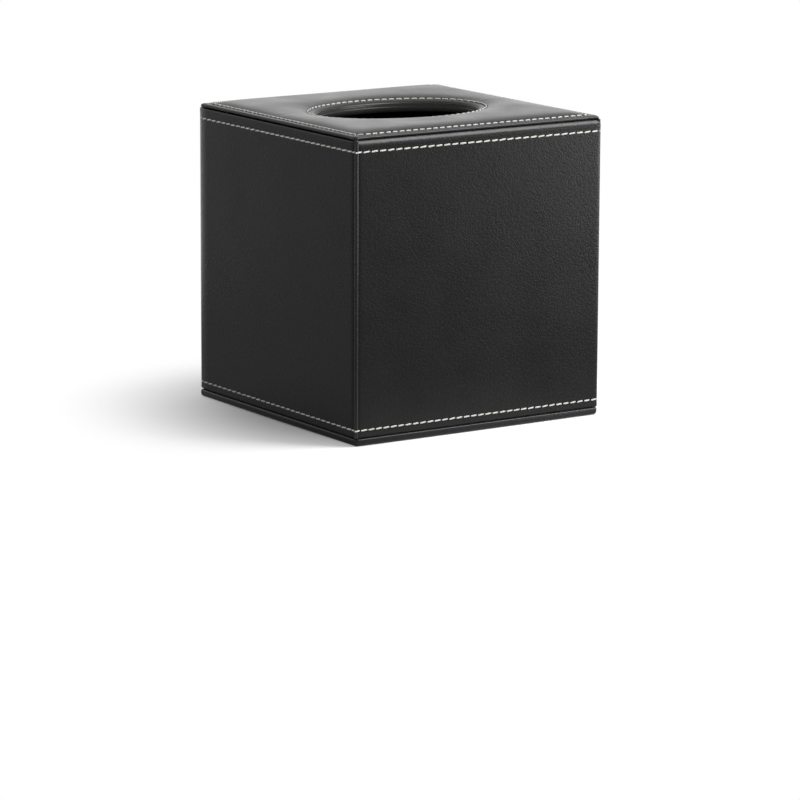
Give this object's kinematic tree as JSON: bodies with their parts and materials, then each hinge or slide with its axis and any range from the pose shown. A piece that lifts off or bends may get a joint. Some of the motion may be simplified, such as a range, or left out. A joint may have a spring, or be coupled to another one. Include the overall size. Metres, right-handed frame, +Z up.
{
  "type": "tissue box",
  "caption": "Cube tissue box in stitched leatherette over board walls, with a padded top, an oval opening for the tissues, and a hinged flap underneath shut by hidden magnets.",
  "frame": {"origin": "on the surface the box stands on, under the middle of the box", "axes": "+Z up through the opening, -Y out of the front wall, which is parallel to the oval opening's length, +X to the right seen from the front"},
  "size_m": [0.1296, 0.1326, 0.1365],
  "materials": {
    "leatherette": "black, fine grain, satin",
    "edge_paint": "black edge paint, satin",
    "sewing_thread": "light grey polyester thread",
    "fibreboard": "raw medium density fibreboard",
    "card": "grey bookbinding card",
    "foam": "open-cell foam sheet",
    "flock_lining": "black flocked lining",
    "magnet_plating": "nickel plated"
  },
  "bodies": {
    "box": {"front_board": "fibreboard", "front_cover": "leatherette", "front_lining": "flock_lining", "right_board": "fibreboard", "right_cover": "leatherette", "right_lining": "flock_lining", "back_board": "fibreboard", "back_cover": "leatherette", "back_lining": "flock_lining", "left_board": "fibreboard", "left_cover": "leatherette", "left_lining": "flock_lining", "corner_edging": "edge_paint", "wall_magnets": "magnet_plating", "top_lining": "flock_lining", "top_board": "fibreboard", "opening_lip": "leatherette", "top_backing": "card", "top_padding": "foam", "top_cover": "leatherette", "wall_top_stitching": "sewing_thread", "wall_bottom_stitching": "sewing_thread", "back_wall_stitching": "sewing_thread", "top_edge_stitching": "sewing_thread", "opening_stitching": "sewing_thread", "hinge_strip": "leatherette"},
    "flap": {"flap_cover": "leatherette", "flap_board": "fibreboard", "flap_lining": "flock_lining", "flap_magnets": "magnet_plating"}
  },
  "joints": [
    {"name": "flap_hinge", "type": "hinge", "parent": "box", "child": "flap", "pos_m": [0, 0.066, 0.00355], "axis": [1, 0, 0], "range_deg": [0, 170], "deforming": ["hinge_strip"]}
  ]
}
